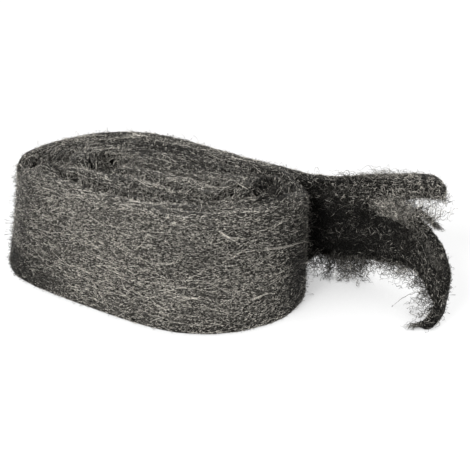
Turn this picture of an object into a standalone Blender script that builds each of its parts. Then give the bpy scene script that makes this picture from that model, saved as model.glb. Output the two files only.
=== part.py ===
"""Steel wool bundle: one felted steel strip wound on edge into a flattened oval roll.

The strip stands on its lower edge. Its inner end lies in the eye of the roll, it winds outward
clockwise seen from above, and its outer end runs out at the back as a torn tail that forks into
a stubby upper lobe and a lower horn, which sweeps forward and down to the table.
Metres, +Z up. The origin is the middle of the underside's bounding box.
"""

import math

import bmesh
import bpy
import numpy as np

# The strip
STRIP_HEIGHT = 0.100
TURN_GAP = 0.0010
EDGE_CREASE = 0.5
INNER_END_THICKNESS = 0.0060

# Where the strip stands on the table its lowest part is pressed flat
FLAT_DEPTH = 0.0060
SETTLE_HEIGHT = 0.0300

# The winding: the eye is a slot, and each turn adds one spacing, which varies round the roll
TURNS = 5.25
EYE_RADIUS = 0.0030
EYE_BOW = 0.0010
EYE_HALF_LENGTH = 0.0545
END_SPACING = 0.0139
SIDE_TIGHTENING = 0.0028
SKEW_SPACING = 0.0019
FRONT_LOOSENESS = 0.0017

# The walls spread towards the table, and the whole roll leans back to the right
BASE_SPREAD = 0.0115
ROLL_LEAN = 0.0093
LEAN_DIRECTION = math.radians(-134)
WALL_CURVE = 1.8

# The rim swells at the back and drops at the left end
BACK_SWELL = 0.0040
BACK_SWELL_ANGLE = math.radians(112)
LEFT_DROP = 0.0030
LEFT_DROP_ANGLE = math.radians(165)
RIM_TURNS = 1.1

# Hollows and ridges of the crests seen from above, measured from the middle of the eye: middle
# X and Y, half length, half width, turn to the left in degrees, and lift
FRONT_HOLLOW = (0.026, -0.035, 0.058, 0.017, 15, -0.0110)
LEFT_FRONT_HOLLOW = (-0.045, -0.052, 0.040, 0.008, 3, -0.0090)
FRONT_RIDGE = (0.016, -0.021, 0.068, 0.007, 20, 0.0050)
MIDDLE_HOLLOW = (0.020, 0.017, 0.050, 0.012, 18, -0.0060)
EYE_PIT = (-0.055, -0.019, 0.012, 0.009, 0, -0.0150)
RIGHT_PIT = (0.094, 0.011, 0.025, 0.009, -55, -0.0190)
LEFT_HOLLOW = (-0.098, -0.030, 0.016, 0.008, -20, -0.0080)
CREST_FORMS = (
    FRONT_HOLLOW, LEFT_FRONT_HOLLOW, FRONT_RIDGE, MIDDLE_HOLLOW, EYE_PIT, RIGHT_PIT, LEFT_HOLLOW,
)
INNER_END_DROP = 0.0100
INNER_END_TURNS = 0.16

# The tail's path seen from above: arcs, each with its length and its turn to the left in degrees
TAIL_THICKNESS = 0.0080
TAIL_RUNS = ((0.105, 0), (0.042, 40), (0.020, -30))
HORN_RUNS = ((0.034, -46), (0.043, -9), (0.0160, -76), (0.0150, -84))
LOBE_RUNS = ((0.032, -5), (0.012, -50), (0.009, -70))

# Heights of the tail's edges as shares of the strip's height and thicknesses of the two prongs,
# all evenly spaced along each part, and where the fork splits the strip
TAIL_TOP = (1.00, 0.98, 0.97, 1.01)
TAIL_BOTTOM = (0.00, 0.00, 0.07, 0.18)
FORK_LOW = 0.66
FORK_HIGH = 0.71
HORN_TOP = (FORK_LOW, 0.65, 0.61, 0.57, 0.47, 0.08)
HORN_BOTTOM = (0.18, 0.17, 0.16, 0.15, 0.15, 0.00)
HORN_THICKNESS = (TAIL_THICKNESS, 0.0090, 0.0080, 0.0040)
LOBE_TOP = (1.01, 1.04, 1.06, 1.00)
LOBE_BOTTOM = (FORK_HIGH, 0.83, 0.88, 0.92)
LOBE_THICKNESS = (TAIL_THICKNESS, 0.0120, 0.0130, 0.0100)

# The net of the sheet: shares of the height at the rows, and the longest steps along the winding
ROW_SHARES = (0.0, 0.30, 0.70, 1.0)
ANGLE_STEP = math.radians(18)
LENGTH_STEP = 0.030
TAIL_ANGLE_STEP = math.radians(30)
FINE_STEPS_PER_TURN = 720

# The finish
STEEL_COLOUR = (0.13, 0.125, 0.115, 1.0)
STEEL_ROUGHNESS = 0.48
STEEL_METALLIC = 0.85


def spacing(angle):
    """Distance between neighbouring turns where the roll's outward normal has this angle."""
    sine = np.sin(angle)
    return (END_SPACING - SIDE_TIGHTENING * sine ** 2
            + SKEW_SPACING * np.sin(2 * angle) - FRONT_LOOSENESS * sine)


def winding():
    """Finely spaced points of the strip's middle line, with normal angle and turns so far."""
    turns = np.linspace(0.0, TURNS, int(TURNS * FINE_STEPS_PER_TURN) + 1)
    angle = math.pi / 2 + 2 * math.pi * (TURNS - turns)
    eye = EYE_RADIUS + np.hypot(EYE_HALF_LENGTH * np.cos(angle), EYE_BOW * np.sin(angle))
    support = eye + turns * spacing(angle)
    slope = np.gradient(support, angle)
    x = support * np.cos(angle) - slope * np.sin(angle)
    y = support * np.sin(angle) + slope * np.cos(angle)
    return np.stack([x, y], axis=1), angle, turns


def stations(points, angle):
    """Indices of the fine points where the net has a column."""
    lengths = np.linalg.norm(np.diff(points, axis=0), axis=1)
    steps = np.hypot(np.abs(np.diff(angle)) / ANGLE_STEP, lengths / LENGTH_STEP)
    travelled = np.concatenate([[0.0], np.cumsum(steps)])
    columns = int(round(travelled[-1]))
    return np.searchsorted(travelled, np.linspace(0, travelled[-1], columns + 1)[:-1])


def bell(value, middle, reach):
    """A smooth bump of height 1."""
    return math.exp(-((value - middle) / reach) ** 2)


def crest_height(angle, turns, place):
    """Height of the strip's upper edge at one place of the winding."""
    back = max(0.0, math.cos(angle - BACK_SWELL_ANGLE)) ** 2
    left = max(0.0, math.cos(angle - LEFT_DROP_ANGLE)) ** 4
    height = STRIP_HEIGHT + (BACK_SWELL * back - LEFT_DROP * left) * bell(TURNS - turns, 0, RIM_TURNS)
    for x, y, half_length, half_width, turn, lift in CREST_FORMS:
        cosine = math.cos(math.radians(turn))
        sine = math.sin(math.radians(turn))
        far_along = ((place[0] - x) * cosine + (place[1] - y) * sine) / half_length
        far_across = ((place[1] - y) * cosine - (place[0] - x) * sine) / half_width
        height += lift * math.exp(-far_along ** 4 - far_across ** 4)
    return height - INNER_END_DROP * bell(turns, 0, INNER_END_TURNS)


def roll_columns():
    """Columns of the wound part: four points each, with the strip's thickness at each point."""
    points, angles, turn_counts = winding()
    lean = ROLL_LEAN * np.array([math.cos(LEAN_DIRECTION), math.sin(LEAN_DIRECTION)])
    columns = []
    for index in stations(points, angles):
        angle = angles[index]
        turns = turn_counts[index]
        outward = np.array([math.cos(angle), math.sin(angle)])
        crest = crest_height(angle, turns, points[index])
        room = spacing(angle) - TURN_GAP
        grown = min(1.0, turns)
        column = []
        for share in ROW_SHARES:
            low = max(0.0, 1 - share * crest / STRIP_HEIGHT) ** WALL_CURVE
            place = points[index] + low * (lean + outward * BASE_SPREAD * turns / TURNS)
            full = room + low * BASE_SPREAD / TURNS
            thickness = INNER_END_THICKNESS + grown * (full - INNER_END_THICKNESS)
            column.append(((place[0], place[1], share * crest), thickness))
        columns.append(column)
    return columns, points[-1], lean


def follow(start, heading, runs):
    """Points and headings at the columns of a path made of arcs, with the share of its length."""
    point = np.array(start)
    whole = sum(length for length, _ in runs)
    travelled = 0.0
    places = []
    for length, degrees in runs:
        turn = math.radians(degrees)
        columns = math.ceil(math.hypot(length / LENGTH_STEP, turn / TAIL_ANGLE_STEP))
        for _ in range(columns):
            heading += turn / columns / 2
            point = point + length / columns * np.array([math.cos(heading), math.sin(heading)])
            heading += turn / columns / 2
            travelled += length / columns
            places.append((point, heading, travelled / whole))
    return places


def along(values, share):
    """A value read between evenly spaced ones, smoothly."""
    position = min(share, 1.0) * (len(values) - 1)
    left = min(int(position), len(values) - 2)
    step = position - left
    return values[left] + (values[left + 1] - values[left]) * step * step * (3 - 2 * step)


def tail_columns(start, lean):
    """Columns of the tail from where it leaves the roll to its fork."""
    places = follow(start, 0.0, TAIL_RUNS)
    columns = []
    for point, heading, share in places:
        top = along(TAIL_TOP, share)
        bottom = along(TAIL_BOTTOM, share)
        forked = (bottom, FORK_LOW, FORK_HIGH, top)
        normal = np.array([-math.sin(heading), math.cos(heading)])
        column = []
        for plain, torn in zip(ROW_SHARES, forked):
            even = bottom + plain * (top - bottom)
            level = even + (torn - even) * share
            low = (1 - level) ** WALL_CURVE * (1 - share) if level < 1 else 0.0
            place = point + low * (lean + normal * BASE_SPREAD)
            column.append(((place[0], place[1], STRIP_HEIGHT * level), TAIL_THICKNESS))
        columns.append(column)
    return columns, places[-1][:2]


def prong_columns(fork, runs, bottoms, tops, thicknesses):
    """Columns of one prong of the tail: two points each."""
    places = follow(fork[0], fork[1], runs)
    columns = []
    for point, _, share in places:
        thickness = along(thicknesses, share)
        bottom = STRIP_HEIGHT * along(bottoms, share)
        top = STRIP_HEIGHT * along(tops, share)
        columns.append([((point[0], point[1], bottom), thickness), ((point[0], point[1], top), thickness)])
    return columns


def grow(sheet, rows, columns, thicknesses):
    """Add columns to the sheet, joined to the row of points it ends in. Returns the new end."""
    for column in columns:
        fresh = [sheet.verts.new(place) for place, _ in column]
        thicknesses.extend(thickness for _, thickness in column)
        if rows:
            for low in range(len(rows) - 1):
                sheet.faces.new((rows[low], fresh[low], fresh[low + 1], rows[low + 1]))
        rows = fresh
    return rows


def steel_material():
    """Dark, slightly warm bare steel fibre."""
    material = bpy.data.materials.new("steel_wool")
    material.use_nodes = True
    shader = material.node_tree.nodes["Principled BSDF"]
    shader.inputs["Base Color"].default_value = STEEL_COLOUR
    shader.inputs["Roughness"].default_value = STEEL_ROUGHNESS
    shader.inputs["Metallic"].default_value = STEEL_METALLIC
    return material


def build_strip(collection):
    """The whole strip as an open sheet, given its thickness and rounded by modifiers."""
    sheet = bmesh.new()
    thicknesses = []
    wound, leaving, lean = roll_columns()
    tail, fork = tail_columns(leaving, lean)
    end = grow(sheet, None, wound + tail, thicknesses)
    horn = prong_columns(fork, HORN_RUNS, HORN_BOTTOM, HORN_TOP, HORN_THICKNESS)
    lobe = prong_columns(fork, LOBE_RUNS, LOBE_BOTTOM, LOBE_TOP, LOBE_THICKNESS)
    grow(sheet, end[:2], horn, thicknesses)
    grow(sheet, end[2:], lobe, thicknesses)
    mesh = bpy.data.meshes.new("steel_wool_strip")
    sheet.to_mesh(mesh)
    sheet.free()
    strip = bpy.data.objects.new("steel_wool_strip", mesh)
    collection.objects.link(strip)
    mesh.materials.append(steel_material())

    group = strip.vertex_groups.new(name="thickness")
    thickest = max(thicknesses)
    for index, thickness in enumerate(thicknesses):
        group.add([index], thickness / thickest, "REPLACE")
    wall = strip.modifiers.new("Wall", "SOLIDIFY")
    wall.thickness = thickest
    wall.offset = 0.0
    wall.vertex_group = group.name
    wall.edge_crease_inner = EDGE_CREASE
    wall.edge_crease_outer = EDGE_CREASE
    rounding = strip.modifiers.new("Rounding", "SUBSURF")
    rounding.levels = 1
    rounding.render_levels = 1
    return strip


def rest_on_table(strip):
    """Press the underside flat and put the origin under the middle of the strip."""
    view = bpy.context.evaluated_depsgraph_get()
    mesh = bpy.data.meshes.new_from_object(strip.evaluated_get(view))
    strip.modifiers.clear()
    strip.data = mesh
    places = np.empty(len(mesh.vertices) * 3, dtype=np.float32)
    mesh.vertices.foreach_get("co", places)
    places = places.reshape(-1, 3)
    settled = places[:, 2] < SETTLE_HEIGHT
    pressed = np.maximum(places[settled, 2] - FLAT_DEPTH, 0.0)
    places[settled, 2] = pressed * SETTLE_HEIGHT / (SETTLE_HEIGHT - FLAT_DEPTH)
    places[:, :2] -= (places[:, :2].min(axis=0) + places[:, :2].max(axis=0)) / 2
    mesh.vertices.foreach_set("co", places.ravel())
    mesh.update()
    mesh.shade_smooth()


def main():
    for item in list(bpy.data.objects):
        bpy.data.objects.remove(item, do_unlink=True)
    collection = bpy.data.collections.new("steel_wool_bundle")
    bpy.context.scene.collection.children.link(collection)
    strip = build_strip(collection)
    rest_on_table(strip)


main()
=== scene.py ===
"""The looks of the steel wool bundle: a dense core, dressed with fine steel fibres as real meshes.

Lengths and places are in metres. A span is a pair of values: a ramp runs from 0 at its first to 1 at
its second, and a random value is drawn evenly between them.
"""

import math
from typing import NamedTuple

import bmesh
import bpy
import numpy as np
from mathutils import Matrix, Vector
from mathutils.bvhtree import BVHTree
from mathutils.kdtree import KDTree


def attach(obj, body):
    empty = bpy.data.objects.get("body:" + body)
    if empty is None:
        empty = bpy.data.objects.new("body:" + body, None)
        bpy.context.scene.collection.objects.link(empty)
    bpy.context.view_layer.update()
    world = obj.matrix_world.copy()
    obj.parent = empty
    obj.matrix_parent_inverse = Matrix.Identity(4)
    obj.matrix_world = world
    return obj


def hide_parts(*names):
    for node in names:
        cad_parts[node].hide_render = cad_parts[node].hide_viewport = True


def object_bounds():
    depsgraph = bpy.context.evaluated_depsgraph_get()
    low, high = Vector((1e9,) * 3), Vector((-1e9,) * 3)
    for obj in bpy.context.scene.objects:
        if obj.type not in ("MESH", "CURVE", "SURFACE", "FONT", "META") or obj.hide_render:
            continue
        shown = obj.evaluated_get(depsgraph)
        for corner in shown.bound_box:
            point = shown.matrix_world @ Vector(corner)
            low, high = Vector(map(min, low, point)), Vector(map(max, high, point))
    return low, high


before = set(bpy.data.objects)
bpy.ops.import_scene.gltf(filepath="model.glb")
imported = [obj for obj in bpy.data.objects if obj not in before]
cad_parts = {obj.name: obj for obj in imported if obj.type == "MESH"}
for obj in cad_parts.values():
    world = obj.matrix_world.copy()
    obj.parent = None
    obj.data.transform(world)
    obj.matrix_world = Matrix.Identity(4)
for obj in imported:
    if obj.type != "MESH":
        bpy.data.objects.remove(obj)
cad_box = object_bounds()
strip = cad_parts["steel_wool_strip"]

# Seed of the draws that have no seed of their own
SEED = 7

# Camera, fitted to the photograph
CAMERA_PLACE = (0.2721, -0.4496, 0.3500)
CAMERA_TARGET = (0.0193, 0.0045, 0.0500)
CAMERA_LENS_MM = 53.86
CAMERA_SENSOR_MM = 36.0

# Light: one soft lamp, and a world that lights less than it shows
KEY_PLACE = (-0.43, -2.57, 2.24)
KEY_TARGET = (-0.03, 0, 0.05)
KEY_DIAMETER = 1.0
KEY_POWER = 165
WORLD_COLOUR = (1, 1, 1, 1)
WORLD_LIGHT = 0.25
WORLD_SEEN = 1.0

# Floor, as it lights the bundle
FLOOR_REACH = 4.0
FLOOR_COLOUR = (0.85, 0.85, 0.85, 1)
FLOOR_ROUGHNESS = 0.9

# Floor, as it is seen: its own light by distance, dimmed by a painted shade where the bundle shuts it
# in, and its shadow
FLOOR_DISTANCE = (0.4, 1.4)
FLOOR_STRENGTH = (0.92, 1.0)
SHADE_REACH = 0.12
SHADE_OPENNESS = (0.10, 0.65)
SHADE_STRENGTH = (0.30, 1.0)
SHADOW_COLOUR = (0.12, 0.12, 0.12, 1)

# Steel: the noise whose painted glints, lighter and darker spots in the colour, wander along the fibres
# and which also sets the roughness, and the colours of the tones 0 and 1
METALLIC = 0.4
SPECULAR = 0.1
GLINT_AND_GLOSS_SCALE = 900
GLINT_AND_GLOSS_STRETCH = (0.95, 0.95, 1.15)
GLINT_AND_GLOSS_DETAIL = 2.0
PAINTED_GLINT_NOISE = (0.36, 0.66)
PAINTED_GLINT_LEVEL = (0.03, 2.20)
GLOSS_NOISE = (0.32, 0.68)
GLOSS_ROUGHNESS = (0.60, 0.34)
DARKEST = (0.0040, 0.0038, 0.0034, 1)
LIGHTEST = (0.90, 0.857, 0.77, 1)

# Smooth noise: number of plane waves, and the span of their stretch
WAVE_COUNT = 24
WAVE_STRETCH = (0.6, 1.6)

# Core: how deep it lies in the strip, its lumps, and the edge lengths above which its net is cut
CORE_INSET = 0.0005
LUMP_SIZE = 0.008
LUMP_HEIGHT = 0.00025
LUMP_SEED = 11
WELD_DISTANCE = 0.00001
CUT_ROUNDS = 3
TOP_EDGE_Z = 0.075
TOP_EDGE_LENGTH = 0.006
SIDE_EDGE_LENGTH = 3 * TOP_EDGE_LENGTH

# Swells and hollows of the roll's top: middle X and Y, half length, half width, turn in degrees, lift
TOP_FORMS = (
    (-0.1005, -0.018, 0.010, 0.008, 0, -0.010),
    (-0.112, -0.004, 0.022, 0.008, 60, 0.003),
    (0.048, 0.012, 0.026, 0.011, -55, 0.011),
    (-0.163, -0.052, 0.022, 0.014, 95, -0.008),
    (0.071, 0.036, 0.020, 0.013, -60, -0.006),
)
TOP_FORM_Z = (0.055, 0.088)

# Where the tail begins, past the roll's end and behind the roll
TAIL_X = (0.080, 0.094)
BEHIND_X = (0.060, 0.072)
BEHIND_Y = (0.046, 0.052)

# Under the tail the wool thins out: X, lowest height of the solid and of the dense wool
THIN_FOOT = (
    (0.062, 0.000, 0.0200),
    (0.072, 0.002, 0.0225),
    (0.084, 0.004, 0.0200),
    (0.096, 0.009, 0.0180),
    (0.108, 0.012, 0.0175),
    (0.126, 0.016, 0.0180),
    (0.150, 0.014, 0.0225),
    (0.162, 0.012, 0.0230),
    (0.171, 0.011, 0.0200),
    (0.180, 0.000, 0.0030),
    (0.188, 0.000, 0.0000),
)
THIN_FOOT_BLEND = 0.040

# The horn's tip is pressed flat, and its bend is raised, more so the higher it lies
TIP_X = (0.160, 0.170)
TIP_Y = (0.036, 0.020)
TIP_PRESS = 0.45
BEND_START_X = (0.138, 0.154)
BEND_END_X = (0.184, 0.196)
BEND_TOP_Z = (0.066, 0.074)
BEND_RISE = 0.009
BEND_RISE_Z = 0.06

# Lines of places on the tail's edges, from which loose wool grows
TAIL_FOOT = (
    (0.066, 0.051, 0.023), (0.083, 0.055, 0.022), (0.096, 0.060, 0.021), (0.108, 0.065, 0.021),
    (0.121, 0.070, 0.021),
)
HORN_FOOT = (
    (0.128, 0.072, 0.021), (0.140, 0.072, 0.022), (0.150, 0.068, 0.023), (0.160, 0.062, 0.024),
    (0.170, 0.053, 0.022), (0.179, 0.044, 0.014), (0.187, 0.034, 0.006),
)
HORN_BACK = (
    (0.120, 0.072, 0.074), (0.132, 0.073, 0.069), (0.142, 0.073, 0.065), (0.152, 0.070, 0.062),
    (0.166, 0.061, 0.059),
)
HORN_CREST = (
    (0.142, 0.0745, 0.064), (0.152, 0.070, 0.062), (0.165, 0.061, 0.059), (0.180, 0.0455, 0.0525),
    (0.188, 0.038, 0.048),
)
HORN_TIP = ((0.180, 0.020, 0.004), (0.171, 0.013, 0.002))
LOBE_FOOT = (
    (0.124, 0.073, 0.079), (0.132, 0.074, 0.084), (0.140, 0.075, 0.085), (0.153, 0.075, 0.088),
    (0.168, 0.070, 0.092), (0.174, 0.068, 0.097),
)
TAIL_CREST = (
    (0.094, 0.059, 0.098), (0.109, 0.067, 0.098), (0.123, 0.074, 0.101), (0.136, 0.079, 0.103),
)
FORK_TUFT = ((0.146, 0.0725, 0.078), (0.162, 0.071, 0.0745), (0.175, 0.069, 0.067))

# Lines on the roll's front along which loose strands lie
LOOSE_STRANDS = (
    ((0.037, -0.054, 0.091), (0.041, -0.052, 0.085), (0.047, -0.048, 0.080), (0.052, -0.045, 0.076)),
    (
        (0.061, -0.036, 0.069), (0.068, -0.027, 0.068), (0.074, -0.017, 0.065), (0.080, -0.002, 0.063),
        (0.080, 0.016, 0.057),
    ),
    ((0.050, -0.054, 0.026), (0.058, -0.046, 0.0266), (0.065, -0.039, 0.028), (0.073, -0.025, 0.030)),
)

# Winding: up to which Z of its normal a face is a wall, and the share of height that counts in lookups
WALL_FACING = 0.3
LOOKUP_HEIGHT = 0.2

# How steeply the fibres follow the horn down, and where
SWEEP_SLOPE = 2.2
SWEEP_SLOPE_X = (0.115, 0.185)
SWEEP_SLOPE_TOP_Z = (0.072, 0.082)

# Sky: rays from each place, how far off the core they start, how much they stray and how far they reach
SKY_SEED = 5
SKY_RAYS = 12
SKY_START = 0.0008
SKY_STRAY = 0.9
SKY_REACH = 0.05

# No fibres start where less sky than this is seen, and few do on the underside
HIDDEN_SKY = 0.12
UNDERSIDE_FACING = -0.7
UNDERSIDE_Z = 0.004
UNDERSIDE_SHARE = 0.1

# On the roll's crests the fibres lie less densely and differ more in tone
CREST_FACING = (0.6, 0.8)
CREST_THINNING = 0.45
CREST_CONTRAST = 0.6

# On flat faces the fibres stray more from the winding
FLAT_FACING = 0.7
FLAT_TILT = 1.6

# A fibre starts between its layer's greatest depth and this share of it above the core
START_RISE = 0.7

# A spindle's rings take their girth from this part of a half wave
GIRTH_START = 0.15
GIRTH_PART = 0.7

# Free hairs: deviation of the bow as a share of length, flatness of the curls, jitter of the facing
HAIR_BOW = 0.12
CURL_FLATNESS = 0.8
HAIR_FACING_JITTER = (0.2, 0.2, 0.2)

# How high above the floor all fibres stay, and the ends of offshoots and of fringes
FIBRE_CLEARANCE = 0.0003
OFFSHOOT_CLEARANCE = 0.0004
FRINGE_CLEARANCE = 0.0005

# How far fibres may stand out of the strip's box, and how those that stand out further are drawn in
BOX_MARGIN = 0.006
DRAW_IN_ROUNDS = 5
DRAW_IN = 0.6

# Tone of the core, near black as painted shade deep in the wool, and the painted shade in hollows: how
# light the core and its fibres are where no sky is seen
CORE_TONE = 0.03
CORE_SHADE = 0.3
FIBRE_SHADE = 0.25
FIBRE_SKY_GAIN = 1.25

# Tone of the tail's front, darker than the roll partly as thinner wool and partly as painted shade of
# the roll's shadow: patches, and what its end adds, and the painted light that its upper part and its
# lobe add
TAIL_TONE = 0.034
PATCH_STRENGTH = 0.45
PATCH_SIZE = 0.016
PATCH_SEED = 37
SWEEP_TONE = 0.012
SWEEP_X = (0.150, 0.175)
UPPER_PAINTED_LIGHT = 0.08
UPPER_Z = (0.066, 0.088)
LOBE_PAINTED_LIGHT = 0.11
LOBE_X = (0.115, 0.145)
LOBE_Z = (0.078, 0.092)

# Tone of the tail's back, which nothing shades: it begins this far behind the line of the tail's foot
TAIL_BACK_TONE = 0.45
BACK_TONE_X = (0.045, 0.125)
BACK_DEPTH = (0.003, 0.006)
BACK_END_X = (0.125, 0.150)

# Darker and lighter places, most of them painted light and shade: middle, radii, turn in degrees and
# tone there
TONE_SPOTS = (
    # Painted shade in the nook between the roll's right end and the tail, partly thin wool
    ((0.092, 0.046, 0.045), (0.036, 0.016, 0.052), 21, 0.03),
    ((0.104, 0.063, 0.028), (0.018, 0.014, 0.012), 21, 0.30),
    ((-0.170, -0.070, 0.013), (0.026, 0.024, 0.018), 0, 0.10),
    ((-0.142, -0.082, 0.006), (0.044, 0.020, 0.014), 0, 0.40),
    # Painted shade on the roll's left end, which turns away from the light
    ((-0.158, -0.066, 0.055), (0.026, 0.026, 0.080), 0, 0.40),
    # Painted shade on the roll's right end
    ((0.084, 0.000, 0.040), (0.014, 0.032, 0.070), 0, 0.20),
    # Painted light: lighter on the roll's front
    ((0.035, -0.055, 0.030), (0.050, 0.030, 0.045), 0, 1.38),
    ((-0.062, -0.076, 0.060), (0.048, 0.025, 0.050), 0, 1.50),
    # Painted shade at the top of the roll's right end, round the gap between its turns
    ((0.063, 0.046, 0.092), (0.022, 0.016, 0.026), 20, 0.25),
    ((0.070, 0.036, 0.090), (0.014, 0.018, 0.020), 0, 0.50),
)

# Lighter and darker bands on the top, painted light on its ridges and rims and painted shade in its
# grooves and hollows: middle X and Y, half length, half width, turn in degrees, tone
TOP_LIGHT_AND_SHADE = (
    (-0.030, -0.020, 0.070, 0.008, 20, 1.50),
    (-0.045, -0.061, 0.085, 0.009, 2, 1.35),
    (-0.112, -0.002, 0.026, 0.008, 60, 1.25),
    (-0.080, 0.010, 0.030, 0.006, 15, 1.10),
    (-0.104, -0.014, 0.024, 0.009, 20, 0.64),
    (-0.1005, -0.018, 0.007, 0.006, 0, 0.30),
    (-0.132, -0.036, 0.028, 0.008, -25, 0.60),
    (0.046, 0.012, 0.030, 0.015, -55, 0.31),
    (-0.020, 0.017, 0.055, 0.011, 18, 0.60),
    (-0.088, 0.034, 0.058, 0.014, 12, 0.37),
    (-0.070, 0.0475, 0.042, 0.0035, 6, 3.60),
    (-0.131, 0.028, 0.036, 0.0035, 33, 3.20),
    (-0.149, -0.022, 0.022, 0.010, 75, 0.62),
    (-0.084, -0.033, 0.016, 0.006, 15, 0.65),
    (-0.034, -0.017, 0.018, 0.006, 15, 1.30),
    (0.012, 0.002, 0.020, 0.008, -15, 1.20),
)
TOP_LIGHT_AND_SHADE_Z = (0.070, 0.085)

# Streaks along the strip: share of X and Y that counts, size, seed, strength
STREAKS = (
    (0.10, 0.006, 23, 0.18),
    (0.50, 0.022, 31, 0.16),
    (0.06, 0.0022, 29, 0.20),
)


class Layer(NamedTuple):
    """Fibres that follow the core.

    Tilt is their deviation from the winding and wander that of each step, in radians. Arch is their
    mean height and sink their greatest depth. Contrast is the deviation of the tone's logarithm, and
    the tone by height, a painted shade, what height adds to it: deeper fibres are darker. On_roll and
    on_tail are how densely they lie there.
    """
    name: str
    count: int
    length: tuple
    steps: int
    tilt: float
    wander: float
    arch: float
    sink: float
    radius: tuple
    tone: float
    contrast: float
    on_roll: float = 1.0
    on_tail: float = 1.0
    depth_shade: float = 0.0


# The nap's tone by height is painted shade: fibres that start deeper are darker
NAP = {
    "count": 22000, "length": (0.0020, 0.0054), "steps": 2, "wander": 0.15, "sink": 0.0006,
    "radius": (0.00012, 0.00021), "tone": 0.49, "contrast": 0.80, "on_tail": 0.55, "depth_shade": 0.8,
}
LAYERS = (
    # The under layer is dark, as painted shade beneath the other layers
    Layer("nap_under", count=6000, length=(0.004, 0.009), steps=2, tilt=0.40, wander=0.25, arch=0.0002,
          sink=0.0006, radius=(0.00016, 0.00028), tone=0.05, contrast=0.8),
    Layer("nap_0", tilt=0.20, arch=0.0004, **NAP),
    Layer("nap_1", tilt=0.32, arch=0.0008, **NAP),
    Layer("nap_2", tilt=0.44, arch=0.0012, **NAP),
    Layer("tail_curls", count=10400, length=(0.003, 0.009), steps=3, tilt=0.6, wander=0.5, arch=0.0005,
          sink=0.0003, radius=(0.00011, 0.00018), tone=1.90, contrast=1.20, on_roll=0.0),
    Layer("strands", count=2000, length=(0.012, 0.030), steps=4, tilt=0.14, wander=0.08, arch=0.0005,
          sink=0.0003, radius=(0.00012, 0.00020), tone=0.50, contrast=0.6),
    Layer("fuzz", count=9000, length=(0.003, 0.007), steps=3, tilt=0.9, wander=0.4, arch=0.0018,
          sink=0.0002, radius=(0.00010, 0.00017), tone=0.14, contrast=0.8, on_tail=0.25),
)


class Hairs(NamedTuple):
    """Free hairs, each a line of points.

    Curl is the radius and pitch the length of their curls. Jitters are deviations along X, Y and Z.
    """
    count: int
    points: int
    radius: tuple
    tone: float
    contrast: float
    curl: tuple = None
    pitch: tuple = None
    start_jitter: tuple = None
    end_jitter: tuple = None


FRINGE = {
    "points": 12, "radius": (0.00015, 0.00027), "tone": 0.07, "contrast": 0.8,
    "curl": (0.0010, 0.0028), "pitch": (0.004, 0.009),
    "start_jitter": (0.002, 0.003, 0.002), "end_jitter": (0.007, 0.003, 0.001),
}
FRINGE_WEB = {
    "points": 11, "radius": (0.00013, 0.00023), "tone": 0.09, "contrast": 0.8,
    "curl": (0.0010, 0.0026), "pitch": (0.004, 0.008), "end_jitter": (0.005, 0.003, 0.003),
}
HAIRS = {
    "tail_fringe": Hairs(count=340, **FRINGE),
    "tail_fringe_web": Hairs(count=540, **FRINGE_WEB),
    "horn_fringe": Hairs(count=240, **FRINGE),
    "horn_fringe_web": Hairs(count=270, **FRINGE_WEB),
    "fork_tuft": Hairs(
        count=140, points=8, radius=(0.00014, 0.00024), tone=0.10, contrast=0.8,
        curl=(0.0004, 0.0014), pitch=(0.005, 0.010),
        start_jitter=(0.001, 0.001, 0.0012), end_jitter=(0.002, 0.001, 0.0014)),
    "tip_hairs": Hairs(
        count=40, points=9, radius=(0.00012, 0.00022), tone=0.10, contrast=0.8,
        curl=(0.0006, 0.0020), pitch=(0.005, 0.010),
        start_jitter=(0.002, 0.002, 0.002), end_jitter=(0.002, 0.002, 0.001)),
    "fork_web": Hairs(
        count=800, points=9, radius=(0.00014, 0.00026), tone=0.16, contrast=0.8,
        curl=(0.0010, 0.0026), pitch=(0.006, 0.012),
        start_jitter=(0.002, 0.001, 0.001), end_jitter=(0.007, 0.003, 0.002)),
    "fork_curls": Hairs(
        count=900, points=8, radius=(0.00012, 0.00022), tone=0.24, contrast=0.9,
        curl=(0.0010, 0.0024), pitch=(0.005, 0.010), end_jitter=(0.007, 0.003, 0.003)),
    "horn_crest": Hairs(
        count=700, points=7, radius=(0.00012, 0.00020), tone=0.10, contrast=0.7,
        curl=(0.0008, 0.0020), pitch=(0.005, 0.010),
        start_jitter=(0.001, 0.001, 0.0006), end_jitter=(0.0035, 0.003, 0.001)),
    "lobe_fringe": Hairs(
        count=220, points=8, radius=(0.00012, 0.00022), tone=0.15, contrast=0.8,
        curl=(0.0008, 0.0020), pitch=(0.004, 0.009),
        start_jitter=(0.002, 0.002, 0.001), end_jitter=(0.005, 0.003, 0.002)),
    "eye_bridge": Hairs(
        count=650, points=5, radius=(0.00013, 0.00022), tone=0.18, contrast=0.8,
        curl=(0.0003, 0.0012), pitch=(0.006, 0.012), end_jitter=(0.0020, 0.0020, 0.0004)),
    "groove_web": Hairs(
        count=2600, points=4, radius=(0.00012, 0.00020), tone=0.28, contrast=0.7,
        curl=(0.0002, 0.0008), pitch=(0.008, 0.016), end_jitter=(0.0020, 0.0020, 0.0004)),
    "loose_strands": Hairs(
        count=8, points=12, radius=(0.00011, 0.00018), tone=0.95, contrast=0.3,
        start_jitter=(0.0007, 0.0007, 0.0007)),
    "crest_hairs": Hairs(
        count=120, points=8, radius=(0.00010, 0.00016), tone=0.15, contrast=0.6,
        curl=(0.0006, 0.0018), pitch=(0.008, 0.016),
        start_jitter=(0.001, 0.001, 0.0005), end_jitter=(0.010, 0.004, 0.001)),
}

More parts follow.
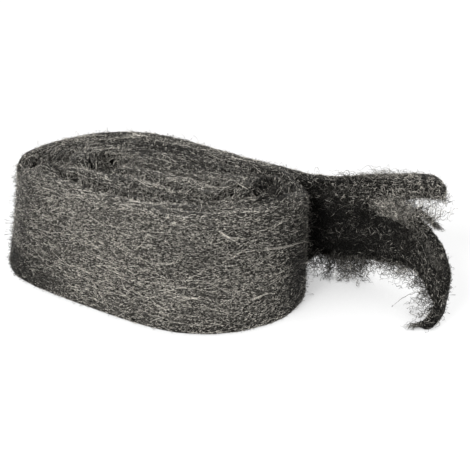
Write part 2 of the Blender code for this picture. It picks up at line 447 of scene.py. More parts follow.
# Fringes: edge, mean fall and its way. All falls are cut off to one span
FRINGES = {
    "tail_fringe": (TAIL_FOOT, 0.015, (0.1, -0.25, -1.0)),
    "horn_fringe": (HORN_FOOT, 0.008, (-0.5, -0.25, -0.9)),
}
FRINGE_FALL = (0.001, 0.024)

# How far along its line a hair of the tuft runs, and how far a hair of the tip runs towards its end
TUFT_RUN = 0.45
TIP_RUN = (0.3, 1.1)

# The fork's web is denser towards its inner end, and its hairs cross part of the fork
FORK_WEB_BETA = (1.0, 1.9)
FORK_WEB_CROSSING = (0.2, 1.0)

# Hairs on the horn's crest: height, its way, and the part of a half wave that it follows along the crest
HORN_CREST_RISE = (0.002, 0.010)
HORN_CREST_WAY = (0.0, 0.1, 1.0)
HORN_CREST_START = 0.12
HORN_CREST_PART = 0.8

# Hairs under the lobe: the share of its line that has none, and their way
LOBE_FRINGE_START = 0.3
LOBE_FRINGE_WAY = (0.001, 0, -0.0015)

# Hairs over the eye: where they start, from which height they drop onto the core, turn and length
EYE_X = (-0.108, 0.016)
EYE_Y = (-0.006, 0.008)
EYE_DROP_Z = 0.098
EYE_TURN = 1.0
EYE_LENGTH = (0.004, 0.012)

# Hairs over the grooves: which faces have them, turn off the winding, length and height of the drop
GROOVE_FACING = 0.6
GROOVE_Z = 0.080
GROOVE_ON_TAIL = 0.1
GROOVE_TURN = (0.4, 1.5)
GROOVE_LENGTH = (0.004, 0.009)
GROOVE_DROP_Z = 0.1

# Loose strands: where along their line they start, how much of it they take, and height off the core
LOOSE_START = (0, 0.5)
LOOSE_PART = (0.3, 0.5)
LOOSE_HEIGHT = (0.0012, 0.0020)

# Hairs on the tail's crest: their way and arch
CREST_HAIR_WAY = (0, 0, 0.001)
CREST_HAIR_ARCH = 0.003

rng = np.random.default_rng(SEED)


class Core(NamedTuple):
    """The dense core: its mesh, lookups of its surface and winding, and a row for each triangle."""
    places: np.ndarray
    triangles: np.ndarray
    tree: BVHTree
    winding: tuple
    facing: np.ndarray
    middle: np.ndarray
    sky: np.ndarray
    growth: np.ndarray
    on_tail: np.ndarray
    on_crest: np.ndarray


def unit(v):
    """Vectors of length 1."""
    return v / np.maximum(np.linalg.norm(v, axis=-1, keepdims=True), 1e-12)


def ramp(span, value):
    """0 before the span, 1 past it, and smooth between. A span may run downwards."""
    start, end = span
    share = np.clip((value - start) / (end - start), 0, 1)
    return share * share * (3 - 2 * share)


def shaded(sky, dark):
    """Light by the share of the sky that is seen: dark at none, and 1 at all of it. In tones it is
    painted shade; it also sets where fibres grow.
    """
    return dark + (1 - dark) * sky


def spread(count, amounts):
    """Normal jitter, its own size along each axis."""
    return rng.normal(size=(count, 3)) * np.array(amounts)


def waves(places, scale, seed):
    """Smooth noise round 0, made of plane waves of about one scale."""
    dice = np.random.default_rng(seed)
    total = np.zeros(len(places))
    for _ in range(WAVE_COUNT):
        direction = unit(dice.normal(size=3))
        stretch = dice.uniform(*WAVE_STRETCH)
        phase = dice.uniform(0, 2 * math.pi)
        total += np.sin(places / scale @ direction * 2 * math.pi * stretch + phase)
    return total / math.sqrt(WAVE_COUNT)


def turned_about_z(places, degrees):
    """Places turned about the Z axis."""
    turn = math.radians(degrees)
    x = places[:, 0] * math.cos(turn) - places[:, 1] * math.sin(turn)
    y = places[:, 0] * math.sin(turn) + places[:, 1] * math.cos(turn)
    return np.stack([x, y, places[:, 2]], axis=1)


def oval(places, form):
    """1 in the middle of a form's oval seen from above, and 0 outside."""
    x, y, long, wide, turn, _ = form
    turn = math.radians(turn)
    dx = places[:, 0] - x
    dy = places[:, 1] - y
    u = (dx * math.cos(turn) + dy * math.sin(turn)) / long
    v = (dy * math.cos(turn) - dx * math.sin(turn)) / wide
    return np.exp(-u ** 4 - v ** 4)


def on_line(corners, share):
    """Places at shares of the way along a line of corners."""
    corners = np.array(corners)
    position = share * (len(corners) - 1)
    left = np.minimum(position.astype(int), len(corners) - 2)
    step = (position - left)[:, None]
    return corners[left] * (1 - step) + corners[left + 1] * step


def tail_share(places):
    """1 on the tail, 0 on the roll."""
    past_end = ramp(TAIL_X, places[:, 0])
    behind = ramp(BEHIND_Y, places[:, 1]) * ramp(BEHIND_X, places[:, 0])
    return np.maximum(past_end, behind)


def top_lift(places):
    """How far the swells and hollows move the roll's crests up or down."""
    lift = sum(form[-1] * oval(places, form) for form in TOP_FORMS)
    return lift * ramp(TOP_FORM_Z, places[:, 2]) * (1 - tail_share(places))


def region_tone(places):
    """Tone by place, with painted light and shade: the tail's front is darker than the roll, partly as
    thinner wool and partly as painted shade, its back less so, with spots and top bands that are mostly
    painted light and shade.
    """
    x, y, z = places.T
    tail = tail_share(places)
    patches = np.exp(PATCH_STRENGTH * waves(places, PATCH_SIZE, PATCH_SEED))
    sweep = ramp(SWEEP_X, x)
    upper = ramp(UPPER_Z, z)
    lobe = ramp(LOBE_Z, z) * ramp(LOBE_X, x)
    # Painted shade of the roll's shadow on the tail's front, partly thinner wool; painted light on its
    # upper part and lobe
    tail_tone = TAIL_TONE * patches + SWEEP_TONE * sweep + UPPER_PAINTED_LIGHT * upper + LOBE_PAINTED_LIGHT * lobe
    front = 1 - tail + tail * tail_tone
    behind = ramp(BEHIND_Y, y)
    back = 1 - (1 - TAIL_BACK_TONE) * ramp(BACK_TONE_X, x) * behind
    foot_x, foot_y, _ = np.array(TAIL_FOOT).T
    depth = y - np.interp(x, foot_x, foot_y)
    on_back = ramp(BACK_DEPTH, depth) * (1 - ramp(BACK_END_X, x)) * behind
    tone = front * (1 - on_back) + back * on_back
    # Spots, mostly painted light and shade
    for middle, radii, turn, factor in TONE_SPOTS:
        away = (turned_about_z(places - np.array(middle), -turn) / np.array(radii)) ** 2
        tone *= 1 - (1 - factor) * np.exp(-away.sum(1)) * (1 - on_back)
    # Painted light and shade in bands on the roll's top
    on_top = ramp(TOP_LIGHT_AND_SHADE_Z, z) * (1 - tail)
    for form in TOP_LIGHT_AND_SHADE:
        tone *= 1 - (1 - form[-1]) * oval(places, form) * on_top
    return tone


def streaks(places):
    """Bands along the strip, a little lighter or darker."""
    total = np.zeros(len(places))
    for level, size, seed, strength in STREAKS:
        total += strength * waves(places * np.array([level, level, 1.0]), size, seed)
    return np.exp(total)


def mesh_arrays(mesh):
    """Vertex places and triangles of a mesh."""
    places = np.empty(len(mesh.vertices) * 3, np.float32)
    mesh.vertices.foreach_get("co", places)
    mesh.calc_loop_triangles()
    triangles = np.empty(len(mesh.loop_triangles) * 3, np.int32)
    mesh.loop_triangles.foreach_get("vertices", triangles)
    return places.reshape(-1, 3).astype(float), triangles.reshape(-1, 3)


def triangle_corners(places, triangles):
    """First, second and third corners of triangles."""
    return (places[triangles[:, corner]] for corner in range(3))


def new_piece(name, places, triangles, tones, material):
    """An object from arrays of places, triangles and tones, riding on the one body."""
    mesh = bpy.data.meshes.new(name)
    mesh.vertices.add(len(places))
    mesh.vertices.foreach_set("co", np.ascontiguousarray(places, np.float32).ravel())
    mesh.loops.add(triangles.size)
    mesh.loops.foreach_set("vertex_index", np.ascontiguousarray(triangles, np.int32).ravel())
    mesh.polygons.add(len(triangles))
    mesh.polygons.foreach_set("loop_start", np.arange(0, triangles.size, 3, dtype=np.int32))
    mesh.update(calc_edges=True)
    mesh.shade_smooth()
    tone = mesh.attributes.new("tone", "FLOAT", "POINT")
    tone.data.foreach_set("value", np.ascontiguousarray(tones, np.float32))
    mesh.materials.append(material)
    piece = bpy.data.objects.new(name, mesh)
    bpy.context.scene.collection.objects.link(piece)
    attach(piece, "root")
    return piece


def mapped(tree, value, source, target):
    """Output of a node that maps a value from one span to another."""
    node = tree.nodes.new("ShaderNodeMapRange")
    for name, number in zip(("From Min", "From Max", "To Min", "To Max"), source + target):
        node.inputs[name].default_value = number
    tree.links.new(value, node.inputs["Value"])
    return node.outputs["Result"]


def combined(tree, operation, first, second):
    """Output of a node that adds or multiplies two values."""
    node = tree.nodes.new("ShaderNodeMath")
    node.operation = operation
    tree.links.new(first, node.inputs[0])
    tree.links.new(second, node.inputs[1])
    return node.outputs["Value"]


def steel():
    """Bare steel wool: each fibre has its own tone, and painted glints wander along its colour."""
    material = bpy.data.materials.new("steel_wool")
    material.use_nodes = True
    tree = material.node_tree
    shader = tree.nodes["Principled BSDF"]
    shader.inputs["Metallic"].default_value = METALLIC
    shader.inputs["Specular IOR Level"].default_value = SPECULAR
    place = tree.nodes.new("ShaderNodeTexCoord")
    stretch = tree.nodes.new("ShaderNodeMapping")
    stretch.inputs["Scale"].default_value = GLINT_AND_GLOSS_STRETCH
    noise = tree.nodes.new("ShaderNodeTexNoise")
    noise.inputs["Scale"].default_value = GLINT_AND_GLOSS_SCALE
    noise.inputs["Detail"].default_value = GLINT_AND_GLOSS_DETAIL
    tree.links.new(place.outputs["Object"], stretch.inputs["Vector"])
    tree.links.new(stretch.outputs["Vector"], noise.inputs["Vector"])
    tone = tree.nodes.new("ShaderNodeAttribute")
    tone.attribute_name = "tone"
    # Painted glints: the noise makes the colour lighter and darker along each fibre
    painted_glint = mapped(tree, noise.outputs["Fac"], PAINTED_GLINT_NOISE, PAINTED_GLINT_LEVEL)
    level = combined(tree, "MULTIPLY", painted_glint, tone.outputs["Fac"])
    colours = tree.nodes.new("ShaderNodeValToRGB")
    first, last = colours.color_ramp.elements
    first.color = DARKEST
    last.color = LIGHTEST
    tree.links.new(level, colours.inputs["Fac"])
    tree.links.new(colours.outputs["Color"], shader.inputs["Base Color"])
    gloss = mapped(tree, noise.outputs["Fac"], GLOSS_NOISE, GLOSS_ROUGHNESS)
    tree.links.new(gloss, shader.inputs["Roughness"])
    return material


def wants_cut(edge):
    """Whether an edge is too long, which near the roll's top it is sooner."""
    on_top = max(v.co.z for v in edge.verts) > TOP_EDGE_Z
    return edge.calc_length() > (TOP_EDGE_LENGTH if on_top else SIDE_EDGE_LENGTH)


def fine_net():
    """Places, normals and triangles of the strip with a finer net."""
    net = bmesh.new()
    net.from_mesh(strip.data)
    bmesh.ops.remove_doubles(net, verts=net.verts, dist=WELD_DISTANCE)
    for _ in range(CUT_ROUNDS):
        long = [edge for edge in net.edges if wants_cut(edge)]
        bmesh.ops.subdivide_edges(net, edges=long, cuts=1)
        bmesh.ops.triangulate(net, faces=net.faces)
    mesh = bpy.data.meshes.new("net")
    net.to_mesh(mesh)
    net.free()
    places, triangles = mesh_arrays(mesh)
    normals = np.empty(len(mesh.vertices) * 3, np.float32)
    mesh.vertices.foreach_get("normal", normals)
    bpy.data.meshes.remove(mesh)
    return places, normals.reshape(-1, 3).astype(float), triangles


def core_shape():
    """Places and triangles of the core: the strip, lumpy, with its top, foot and horn worked."""
    places, normals, triangles = fine_net()
    height = LUMP_HEIGHT * waves(places, LUMP_SIZE, LUMP_SEED) - CORE_INSET
    places += normals * height[:, None]
    places[:, 2] += top_lift(places)
    tail = tail_share(places)
    x, y, z = places.T
    foot_x, solid, dense = np.array(THIN_FOOT).T
    foot = np.interp(x, foot_x, solid)
    rise = np.interp(x, foot_x, dense) - foot
    z += rise * tail * (1 - ramp((foot, foot + THIN_FOOT_BLEND), z))
    z *= 1 - TIP_PRESS * (ramp(TIP_Y, y) * ramp(TIP_X, x))
    bend = ramp(BEND_START_X, x) * (1 - ramp(BEND_END_X, x))
    bend *= tail * (1 - ramp(BEND_TOP_Z, z))
    z += BEND_RISE * bend * (z / BEND_RISE_Z) ** 2
    places[:, 2] = np.maximum(z, 0.0)
    return places, triangles


def visible_share(tree, points, normals):
    """Share of the sky that each place sees."""
    dice = np.random.default_rng(SKY_SEED)
    open_rays = np.zeros(len(points))
    for _ in range(SKY_RAYS):
        aims = unit(normals + unit(dice.normal(size=points.shape)) * SKY_STRAY)
        rays = zip(points.tolist(), aims.tolist())
        open_rays += np.array([tree.ray_cast(start, aim, SKY_REACH)[0] is None for start, aim in rays])
    return open_rays / SKY_RAYS


def corner_means(values, triangles, corner_count):
    """Mean value round each vertex of a value that each triangle has."""
    total = np.zeros(corner_count)
    number = np.zeros(corner_count)
    for corner in range(3):
        np.add.at(total, triangles[:, corner], values)
        np.add.at(number, triangles[:, corner], 1)
    return total / np.maximum(number, 1)


def winding_field():
    """A lookup of the winding direction at any place, taken from the walls of the CAD strip."""
    a, b, c = triangle_corners(*mesh_arrays(strip.data))
    normals = unit(np.cross(b - a, c - a))
    walls = np.abs(normals[:, 2]) < WALL_FACING
    middle = (a + b + c)[walls] / 3
    along = unit(np.cross([0, 0, 1], normals[walls]))
    tree = KDTree(len(middle))
    for index, (x, y, z) in enumerate(middle):
        tree.insert((x, y, z * LOOKUP_HEIGHT), index)
    tree.balance()
    return tree, along


def make_core(material):
    """The core's piece, and what the fibres need to know of it."""
    places, triangles = core_shape()
    tree = BVHTree.FromPolygons(places.tolist(), triangles.tolist())
    a, b, c = triangle_corners(places, triangles)
    facing = unit(np.cross(b - a, c - a))
    middle = (a + b + c) / 3
    sky = visible_share(tree, middle + facing * SKY_START, facing)
    # Painted shade: the core's colour is darker where it sees less sky
    corner_painted_shade = shaded(corner_means(sky, triangles, len(places)), CORE_SHADE)
    tones = CORE_TONE * corner_painted_shade * region_tone(places)
    winding = winding_field()
    piece = new_piece("wool_core", places, triangles, tones, material)
    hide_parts("steel_wool_strip")
    growth = np.where(sky > HIDDEN_SKY, shaded(sky, CORE_SHADE), 0.0)
    growth[(facing[:, 2] < UNDERSIDE_FACING) & (middle[:, 2] < UNDERSIDE_Z)] *= UNDERSIDE_SHARE
    on_tail = tail_share(middle)
    on_crest = ramp(CREST_FACING, facing[:, 2]) * (1 - on_tail)
    return Core(places, triangles, tree, winding, facing, middle, sky, growth, on_tail, on_crest)


def surface_samples(core, count, weight):
    """Random points on the core, their normals and triangles, more where the weight is higher."""
    a, b, c = triangle_corners(core.places, core.triangles)
    cross = np.cross(b - a, c - a)
    share = np.linalg.norm(cross, axis=1) * weight
    pick = rng.choice(len(core.triangles), count, p=share / share.sum())
    u, v = rng.random((2, count))
    flip = u + v > 1
    u[flip], v[flip] = 1 - u[flip], 1 - v[flip]
    points = a[pick] + (b - a)[pick] * u[:, None] + (c - a)[pick] * v[:, None]
    return points, unit(cross[pick]), pick


def directions(core, points):
    """Winding direction at points."""
    tree, along = core.winding
    return along[[tree.find((x, y, z * LOOKUP_HEIGHT))[1] for x, y, z in points]]


def combed(along, points):
    """Headings that slope down with the horn, where the tail sweeps down."""
    slope = SWEEP_SLOPE * ramp(SWEEP_SLOPE_X, points[:, 0]) * tail_share(points)
    slope *= 1 - ramp(SWEEP_SLOPE_TOP_Z, points[:, 2])
    forward = along * np.where(along[:, :1] < 0, -1, 1)
    return unit(forward - np.outer(slope, (0, 0, 1)))


def snap(core, points):
    """Nearest places on the core, with its normals there."""
    found = [core.tree.find_nearest(point)[:2] for point in points.tolist()]
    return np.array([f[0] for f in found]), np.array([f[1] for f in found])


def turned(heading, normals, angle):
    """Headings turned about the normals."""
    side = np.cross(normals, heading)
    return unit(heading * np.cos(angle)[:, None] + side * np.sin(angle)[:, None])


def laid_flat(heading, normals):
    """Headings without their part along the normals."""
    return unit(heading - normals * (heading * normals).sum(1, keepdims=True))


def trace(core, points, normals, heading, layer):
    """Fibres that follow the core from points, and how high each starts, as a share of the sink."""
    count = len(points)
    step = (rng.uniform(*layer.length, count) / layer.steps)[:, None]
    drift = rng.normal(0, layer.wander, count)
    arches = rng.exponential(layer.arch, count)
    base = rng.uniform(-layer.sink, layer.sink * START_RISE, count)
    lines = []
    for number in range(layer.steps + 1):
        rise = base + arches * math.sin(math.pi * (number / layer.steps))
        lines.append(points + normals * rise[:, None])
        if number == layer.steps:
            break
        heading = turned(heading, normals, drift + rng.normal(0, layer.wander, count))
        points, normals = snap(core, points + heading * step)
        heading = laid_flat(heading, normals)
    lines = np.stack(lines, axis=1)
    lines[:, :, 2] = np.maximum(lines[:, :, 2], FIBRE_CLEARANCE)
    return lines, base / layer.sink


def kept_near(lines):
    """Fibres that reach too far out of the strip's box are drawn in towards their starts."""
    low = np.array(cad_box[0]) - BOX_MARGIN
    high = np.array(cad_box[1]) + BOX_MARGIN
    for _ in range(DRAW_IN_ROUNDS):
        out = ((lines < low) | (lines > high)).any(axis=(1, 2))
        lines[out] = lines[out, :1] + (lines[out] - lines[out, :1]) * DRAW_IN
    return lines


def spindle_faces(inner):
    """Triangles of one spindle: its first point, a number of rings of three, and its last point."""
    faces = []
    for corner in range(3):
        following = (corner + 1) % 3
        faces.append((0, 1 + following, 1 + corner))
        for ring in range(inner - 1):
            low = 1 + 3 * ring
            high = low + 3
            faces.append((low + corner, low + following, high + following))
            faces.append((low + corner, high + following, high + corner))
        last = 1 + 3 * (inner - 1)
        faces.append((last + corner, last + following, 3 * inner + 1))
    return np.array(faces)


def spindles(lines, radii, facing):
    """Closed three-sided fibres, pointed at both ends, round lines of points."""
    count, points, _ = lines.shape
    inner = points - 2
    along = unit(np.gradient(lines, axis=1))
    side = unit(np.cross(along, facing[:, None, :]))
    up = np.cross(side, along)
    share = np.linspace(0, 1, points)[1:-1]
    girth = np.sin(math.pi * (GIRTH_START + GIRTH_PART * share))
    thick = radii[:, None] * girth[None, :]
    corners = []
    for corner in range(3):
        turn = 2 * math.pi * corner / 3
        shift = math.cos(turn) * up[:, 1:-1] + math.sin(turn) * side[:, 1:-1]
        corners.append(lines[:, 1:-1] + thick[:, :, None] * shift)
    rings = np.stack(corners, axis=2).reshape(count, inner * 3, 3)
    places = np.concatenate([lines[:, :1], rings, lines[:, -1:]], axis=1)
    starts = (3 * inner + 2) * np.arange(count)
    triangles = spindle_faces(inner)[None] + starts[:, None, None]
    return places.reshape(-1, 3), triangles.reshape(-1, 3)


def new_fibres(name, lines, radii, facing, tones, material):
    """A piece of spindles, each of one tone."""
    places, triangles = spindles(lines, radii, facing)
    new_piece(name, places, triangles, np.repeat(tones, len(places) // len(lines)), material)


def add_layer(core, layer, material):
    """A piece of fibres that follow the core."""
    count = layer.count
    density = layer.on_roll + (layer.on_tail - layer.on_roll) * core.on_tail
    weight = core.growth * density * (1 - CREST_THINNING * core.on_crest)
    points, normals, pick = surface_samples(core, count, weight)
    along = laid_flat(combed(directions(core, points), points), normals)
    flat = np.abs(normals[:, 2]) > FLAT_FACING
    angle = rng.normal(0, 1, count) * np.where(flat, FLAT_TILT * layer.tilt, layer.tilt)
    heading = turned(along, normals, angle) * rng.choice([-1, 1], count)[:, None]
    lines, height = trace(core, points, normals, heading, layer)
    lines = kept_near(lines)
    facing = snap(core, lines[:, (layer.steps + 1) // 2])[1]
    radii = rng.uniform(*layer.radius, count)
    contrast = layer.contrast * (1 + CREST_CONTRAST * core.on_crest[pick])
    # Painted shade by depth: fibres that start lower are darker; the random part and the streaks are the
    # wool's own tone
    tones = layer.tone * np.exp(rng.normal(0, contrast) + layer.depth_shade * height) * streaks(points)
    # Painted shade: a fibre is darker where the core under it sees less sky
    sky = np.clip(core.sky[pick] * FIBRE_SKY_GAIN, 0, 1)
    tones *= shaded(sky, FIBRE_SHADE) * region_tone(points)
    new_fibres(layer.name, lines, radii, facing, tones, material)


def curly(group, starts, ends):
    """Free hairs from starts to ends, bowed and curled."""
    count = len(starts)
    share = np.linspace(0, 1, group.points)
    base = starts[:, None, :] + (ends - starts)[:, None, :] * share[None, :, None]
    way = unit(ends - starts)
    side = unit(np.cross(way, unit(rng.normal(size=(count, 3)))))
    other = np.cross(way, side)
    length = np.linalg.norm(ends - starts, axis=1)
    turns = 2 * math.pi * length / rng.uniform(*group.pitch, count)
    phase = rng.uniform(0, 2 * math.pi, count)
    angle = turns[:, None] * share[None, :] + phase[:, None]
    curl = rng.uniform(*group.curl, count)[:, None]
    bow = rng.normal(0, HAIR_BOW, count)[:, None] * length[:, None] * np.sin(math.pi * share)[None, :]
    lines = base + side[:, None, :] * (curl * np.cos(angle) + bow)[:, :, None]
    lines += other[:, None, :] * (curl * np.sin(angle) * CURL_FLATNESS)[:, :, None]
    lines[:, :, 2] = np.maximum(lines[:, :, 2], FIBRE_CLEARANCE)
    return lines


def offshoots(group, lines):
    """Curly hairs that start anywhere on other hairs."""
    count = group.count
    starts = lines[rng.integers(0, len(lines), count), rng.integers(1, lines.shape[1], count)]
    ends = starts + spread(count, group.end_jitter)
    ends[:, 2] = np.maximum(ends[:, 2], OFFSHOOT_CLEARANCE)
    return curly(group, starts, ends)


def add_hairs(name, lines, material, light=1.0):
    """A piece of free hairs round lines of points, and the lines as they were kept near."""
    group = HAIRS[name]
    count = len(lines)
    lines = kept_near(lines)
    facing = unit(np.array([[0.0, 0.0, 1.0]]) + spread(count, HAIR_FACING_JITTER))
    radii = rng.uniform(*group.radius, count)
    tones = group.tone * light * np.exp(rng.normal(0, group.contrast, count))
    new_fibres(name, lines, radii, facing, tones, material)
    return lines


def add_fringe(core, name, material):
    """Hairs that fall from an edge of the tail, and a web of hairs that start on them."""
    corners, fall, way = FRINGES[name]
    group = HAIRS[name]
    count = group.count
    starts = on_line(corners, rng.random(count)) + spread(count, group.start_jitter)
    starts = snap(core, starts)[0]
    falls = rng.exponential(fall, count).clip(*FRINGE_FALL)
    ends = starts + spread(count, group.end_jitter) + np.outer(falls, way)
    ends[:, 2] = np.maximum(ends[:, 2], FRINGE_CLEARANCE)
    lines = add_hairs(name, curly(group, starts, ends), material)
    web = name + "_web"
    add_hairs(web, offshoots(HAIRS[web], lines), material)


def add_fork_tuft(material):
    """Hairs that run along one line in the fork."""
    group = HAIRS["fork_tuft"]
    share = rng.random(group.count)
    starts = on_line(FORK_TUFT, share) + spread(group.count, group.start_jitter)
    further = np.minimum(share + TUFT_RUN, 1.0)
    ends = on_line(FORK_TUFT, further) + spread(group.count, group.end_jitter)
    add_hairs("fork_tuft", curly(group, starts, ends), material)


def add_tip_hairs(core, material):
    """Hairs at the horn's tip."""
    group = HAIRS["tip_hairs"]
    count = group.count
    first, last = np.array(HORN_TIP)
    starts = snap(core, first + spread(count, group.start_jitter))[0]
    ends = starts + (last - starts) * rng.uniform(*TIP_RUN, (count, 1))
    ends += spread(count, group.end_jitter)
    add_hairs("tip_hairs", curly(group, starts, ends), material)


def add_fork_web(material):
    """Hairs that cross the fork from the horn towards the lobe, and curls that start on them."""
    group = HAIRS["fork_web"]
    count = group.count
    share = rng.beta(*FORK_WEB_BETA, count)
    low = on_line(HORN_BACK, share)
    high = on_line(LOBE_FOOT, share)
    starts = low + spread(count, group.start_jitter)
    ends = starts + (high - low) * rng.uniform(*FORK_WEB_CROSSING, (count, 1))
    ends += spread(count, group.end_jitter)
    lines = add_hairs("fork_web", curly(group, starts, ends), material)
    add_hairs("fork_curls", offshoots(HAIRS["fork_curls"], lines), material)


def add_horn_crest(material):
    """Hairs that stand on the horn's crest."""
    group = HAIRS["horn_crest"]
    count = group.count
    share = rng.random(count)
    starts = on_line(HORN_CREST, share) + spread(count, group.start_jitter)
    rise = rng.uniform(*HORN_CREST_RISE, count)
    rise *= np.sin(math.pi * (HORN_CREST_START + HORN_CREST_PART * share))
    ends = starts + np.outer(rise, HORN_CREST_WAY) + spread(count, group.end_jitter)
    add_hairs("horn_crest", curly(group, starts, ends), material)


def add_lobe_fringe(core, material):
    """Short hairs under the lobe."""
    group = HAIRS["lobe_fringe"]
    count = group.count
    share = LOBE_FRINGE_START + (1 - LOBE_FRINGE_START) * rng.random(count)
    starts = snap(core, on_line(LOBE_FOOT, share) + spread(count, group.start_jitter))[0]
    ends = starts + spread(count, group.end_jitter) + np.array(LOBE_FRINGE_WAY)
    add_hairs("lobe_fringe", curly(group, starts, ends), material)


def add_eye_bridge(core, material):
    """Hairs that lie across the eye and its inner turns."""
    group = HAIRS["eye_bridge"]
    count = group.count
    x = rng.uniform(*EYE_X, count)
    y = rng.uniform(*EYE_Y, count)
    drop = np.full(count, EYE_DROP_Z)
    starts = snap(core, np.stack([x, y, drop], axis=1))[0]
    angle = rng.normal(0, EYE_TURN, count)
    length = rng.uniform(*EYE_LENGTH, count)
    over = np.stack([x + length * np.cos(angle), y + length * np.sin(angle), drop], axis=1)
    ends = snap(core, over)[0] + spread(count, group.end_jitter)
    add_hairs("eye_bridge", curly(group, starts, ends), material, region_tone(starts))


def add_groove_web(core, material):
    """Hairs on the roll's top that cross from crest to crest."""
    group = HAIRS["groove_web"]
    count = group.count
    on_top = (core.facing[:, 2] > GROOVE_FACING) & (core.middle[:, 2] > GROOVE_Z)
    weight = (on_top & (core.on_tail < GROOVE_ON_TAIL)).astype(float)
    starts, normals, _ = surface_samples(core, count, weight)
    angle = rng.choice([-1, 1], count) * rng.uniform(*GROOVE_TURN, count)
    heading = turned(directions(core, starts), normals, angle)
    over = starts + heading * rng.uniform(*GROOVE_LENGTH, count)[:, None]
    over[:, 2] = GROOVE_DROP_Z
    ends = snap(core, over)[0] + spread(count, group.end_jitter)
    add_hairs("groove_web", curly(group, starts, ends), material, region_tone(starts))


def add_loose_strands(core, material):
    """Single strands that lie loose on the roll's front, a few along each line."""
    group = HAIRS["loose_strands"]
    lines = []
    for corners in LOOSE_STRANDS:
        for _ in range(group.count):
            first = rng.uniform(*LOOSE_START)
            share = np.linspace(first, first + rng.uniform(*LOOSE_PART), group.points)
            places, normals = snap(core, on_line(corners, share) + spread(1, group.start_jitter))
            lines.append(places + normals * rng.uniform(*LOOSE_HEIGHT))
    add_hairs("loose_strands", np.stack(lines), material)


def add_crest_hairs(material):
    """Hairs that arch over the tail's crest."""
    group = HAIRS["crest_hairs"]
    count = group.count
    starts = on_line(TAIL_CREST, rng.random(count)) + spread(count, group.start_jitter)
    ends = starts + spread(count, group.end_jitter) + np.array(CREST_HAIR_WAY)
    lines = curly(group, starts, ends)
    lines[:, :, 2] += CREST_HAIR_ARCH * np.sin(math.pi * np.linspace(0, 1, group.points))[None, :]
    add_hairs("crest_hairs", lines, material)


def make_bundle():
    """The core and every group of fibres, in the order of their random draws."""
    wool = steel()
    core = make_core(wool)
    for layer in LAYERS:
        add_layer(core, layer, wool)
    for name in FRINGES:
        add_fringe(core, name, wool)
    add_fork_tuft(wool)
    add_tip_hairs(core, wool)
    add_fork_web(wool)
    add_horn_crest(wool)
    add_lobe_fringe(core, wool)
    add_eye_bridge(core, wool)
    add_groove_web(core, wool)
    add_loose_strands(core, wool)
    add_crest_hairs(wool)


def seen_rays(tree):
    """1 for rays that show the background: camera, glossy and transmission rays."""
    path = tree.nodes.new("ShaderNodeLightPath")
    total = path.outputs["Is Camera Ray"]
    for name in ("Is Glossy Ray", "Is Transmission Ray"):
        total = combined(tree, "ADD", total, path.outputs[name])
        total.node.use_clamp = True
    return total


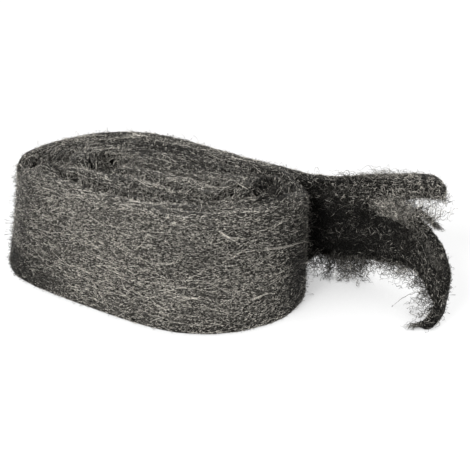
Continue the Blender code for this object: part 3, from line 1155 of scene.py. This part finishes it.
def floor_material():
    """A pale floor whose colour is its own light where it is seen, with painted shade where the bundle
    shuts it in, and that keeps the shadow.
    """
    material = bpy.data.materials.new("floor")
    material.use_nodes = True
    tree = material.node_tree
    shader = tree.nodes["Principled BSDF"]
    shader.inputs["Base Color"].default_value = FLOOR_COLOUR
    shader.inputs["Roughness"].default_value = FLOOR_ROUGHNESS
    place = tree.nodes.new("ShaderNodeTexCoord")
    away = tree.nodes.new("ShaderNodeVectorMath")
    away.operation = "LENGTH"
    tree.links.new(place.outputs["Object"], away.inputs[0])
    white = mapped(tree, away.outputs["Value"], FLOOR_DISTANCE, FLOOR_STRENGTH)
    # Painted shade: the floor's own light is dimmed by ambient occlusion near the bundle
    openness = tree.nodes.new("ShaderNodeAmbientOcclusion")
    openness.inputs["Distance"].default_value = SHADE_REACH
    shade = mapped(tree, openness.outputs["AO"], SHADE_OPENNESS, SHADE_STRENGTH)
    glow = tree.nodes.new("ShaderNodeEmission")
    tree.links.new(combined(tree, "MULTIPLY", white, shade), glow.inputs["Strength"])
    shadow = tree.nodes.new("ShaderNodeBsdfDiffuse")
    shadow.inputs["Color"].default_value = SHADOW_COLOUR
    seen = tree.nodes.new("ShaderNodeAddShader")
    tree.links.new(glow.outputs["Emission"], seen.inputs[0])
    tree.links.new(shadow.outputs["BSDF"], seen.inputs[1])
    mix = tree.nodes.new("ShaderNodeMixShader")
    tree.links.new(seen_rays(tree), mix.inputs["Fac"])
    tree.links.new(shader.outputs["BSDF"], mix.inputs[1])
    tree.links.new(seen.outputs["Shader"], mix.inputs[2])
    tree.links.new(mix.outputs["Shader"], tree.nodes["Material Output"].inputs["Surface"])
    return material


def make_floor():
    """A level square under the bundle."""
    mesh = bpy.data.meshes.new("floor")
    signs = ((-1, -1), (1, -1), (1, 1), (-1, 1))
    corners = [(x * FLOOR_REACH, y * FLOOR_REACH, 0) for x, y in signs]
    mesh.from_pydata(corners, [], [(0, 1, 2, 3)])
    mesh.materials.append(floor_material())
    floor = bpy.data.objects.new("floor", mesh)
    bpy.context.scene.collection.objects.link(floor)


def make_world():
    """A white surrounding that lights less than it shows."""
    world = bpy.data.worlds.new("world")
    world.use_nodes = True
    tree = world.node_tree
    strength = tree.nodes.new("ShaderNodeMix")
    strength.data_type = "FLOAT"
    strength.inputs["A"].default_value = WORLD_LIGHT
    strength.inputs["B"].default_value = WORLD_SEEN
    tree.links.new(seen_rays(tree), strength.inputs["Factor"])
    back = tree.nodes["Background"]
    back.inputs["Color"].default_value = WORLD_COLOUR
    tree.links.new(strength.outputs["Result"], back.inputs["Strength"])
    bpy.context.scene.world = world


def put_up(name, data, place, target):
    """A lamp or camera at a place, pointed at a target."""
    item = bpy.data.objects.new(name, data)
    item.location = place
    aim = Vector(target) - Vector(place)
    item.rotation_euler = aim.to_track_quat("-Z", "Y").to_euler()
    bpy.context.scene.collection.objects.link(item)
    return item


def make_stage():
    """Pale floor, soft light and the camera."""
    make_floor()
    make_world()
    light = bpy.data.lights.new("key", "AREA")
    light.shape = "DISK"
    light.size = KEY_DIAMETER
    light.energy = KEY_POWER
    put_up("key", light, KEY_PLACE, KEY_TARGET)
    lens = bpy.data.cameras.new("camera")
    lens.lens = CAMERA_LENS_MM
    lens.sensor_width = CAMERA_SENSOR_MM
    bpy.context.scene.camera = put_up("camera", lens, CAMERA_PLACE, CAMERA_TARGET)
    bpy.context.scene.view_settings.view_transform = "Standard"


make_bundle()
make_stage()
